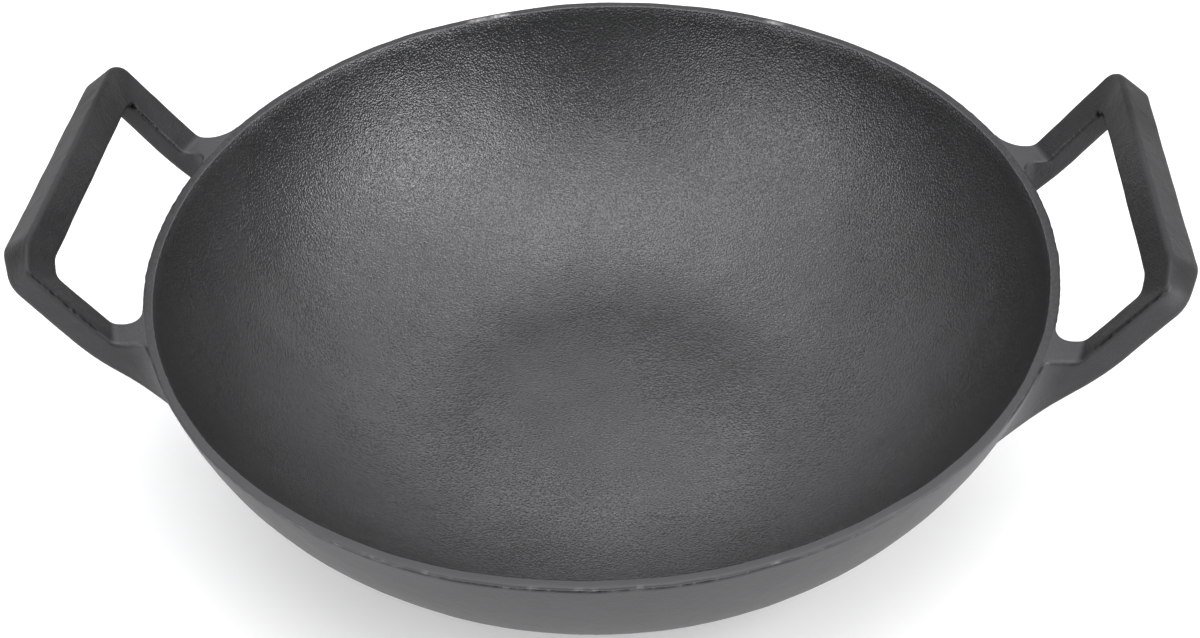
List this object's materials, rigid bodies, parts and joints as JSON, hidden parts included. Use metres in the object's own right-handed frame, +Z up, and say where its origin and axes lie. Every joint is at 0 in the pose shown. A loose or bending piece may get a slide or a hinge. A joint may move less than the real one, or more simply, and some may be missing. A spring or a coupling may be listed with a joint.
{
  "type": "wok",
  "caption": "Round flat-based cast-iron wok: an open bowl with a curved wall, a flat rim, and an upright rectangular loop handle on each side for lifting.",
  "frame": {"origin": "centre of the flat underside that the wok stands on", "axes": "+Z up out of the bowl's mouth, +X through the two handles, +Y away from the picture's camera"},
  "size_m": [0.4318, 0.3558, 0.1364],
  "materials": {
    "bowl_iron": "pebbled, oil-seasoned, satin black",
    "handle_iron": "as cast, oil-seasoned, matte dark grey"
  },
  "bodies": {
    "root": {"bowl": "bowl_iron", "right_handle": "handle_iron", "left_handle": "handle_iron"}
  },
  "joints": []
}
